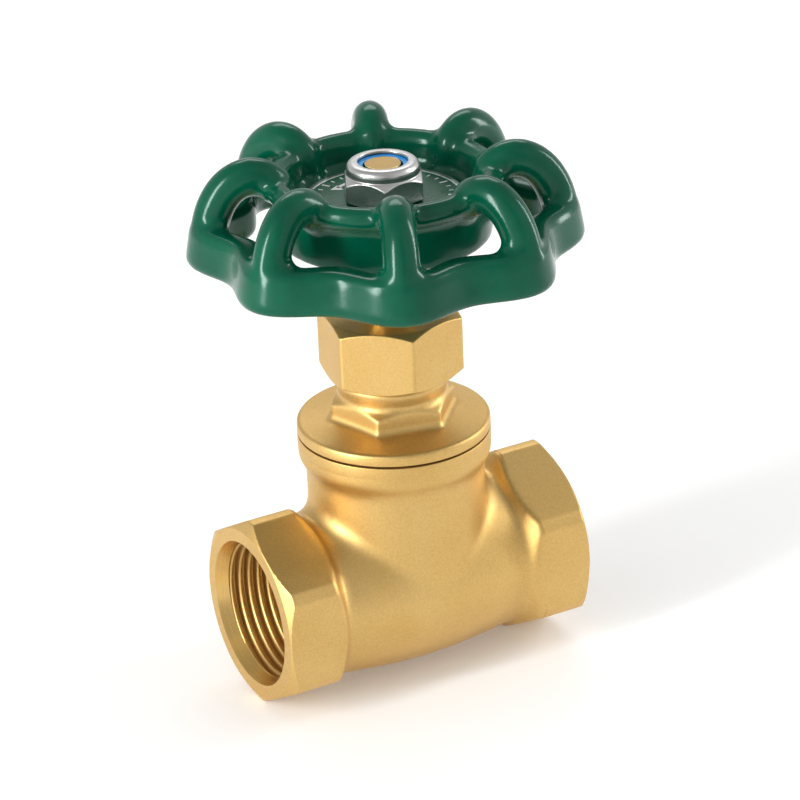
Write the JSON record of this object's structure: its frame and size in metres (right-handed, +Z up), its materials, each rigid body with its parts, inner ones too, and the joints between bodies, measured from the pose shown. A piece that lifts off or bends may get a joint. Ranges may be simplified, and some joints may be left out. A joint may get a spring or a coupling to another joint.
{
  "type": "globe valve",
  "caption": "Screw-down brass globe valve with two female pipe sockets, a screwed bonnet, a packed rising stem and a lobed handwheel.",
  "frame": {"origin": "where the pipe axis meets the stem axis", "axes": "+Z up the stem axis to the handwheel, X along the pipe axis with the inlet socket at -X, +Y to the side"},
  "size_m": [0.0636, 0.0636, 0.0968],
  "materials": {
    "brass_blasted": "bead-blasted satin",
    "brass_turned": "turned, bright",
    "green_enamel": "dipped gloss enamel",
    "printed_aluminium": "printed gloss on bare metal",
    "stainless": "satin",
    "nylon": "moulded",
    "packing": "pressed fluoropolymer",
    "rubber": "moulded"
  },
  "bodies": {
    "valve_body": {"body": "brass_blasted", "bonnet": "brass_blasted", "bonnet_gasket": "rubber", "packing_support_washer": "brass_turned", "packing_ring_lower": "packing", "packing_ring_middle": "packing", "packing_ring_upper": "packing", "gland_follower": "brass_turned", "packing_nut": "brass_blasted"},
    "disc_assembly": {"disc_holder": "brass_turned", "disc_seal": "rubber", "disc_seal_washer": "brass_turned", "disc_seal_nut": "brass_turned", "disc_retaining_ring": "stainless"},
    "stem_assembly": {"stem": "brass_turned", "handwheel": "green_enamel", "nameplate": "printed_aluminium", "wheel_lock_nut": "stainless", "nylon_insert": "nylon"}
  },
  "joints": [
    {"name": "disc_lift", "type": "slide", "parent": "valve_body", "child": "disc_assembly", "axis": [0, 0, 1], "range_m": [0, 0.0075]},
    {"name": "handwheel_turn", "type": "hinge", "parent": "disc_assembly", "child": "stem_assembly", "pos_m": [0, 0, 0.07], "axis": [0, 0, 1], "range_deg": [0, 1080]}
  ],
  "couplings": [
    {"joint": "disc_lift", "follows": "handwheel_turn", "m_per_rad": 0.00039788}
  ]
}
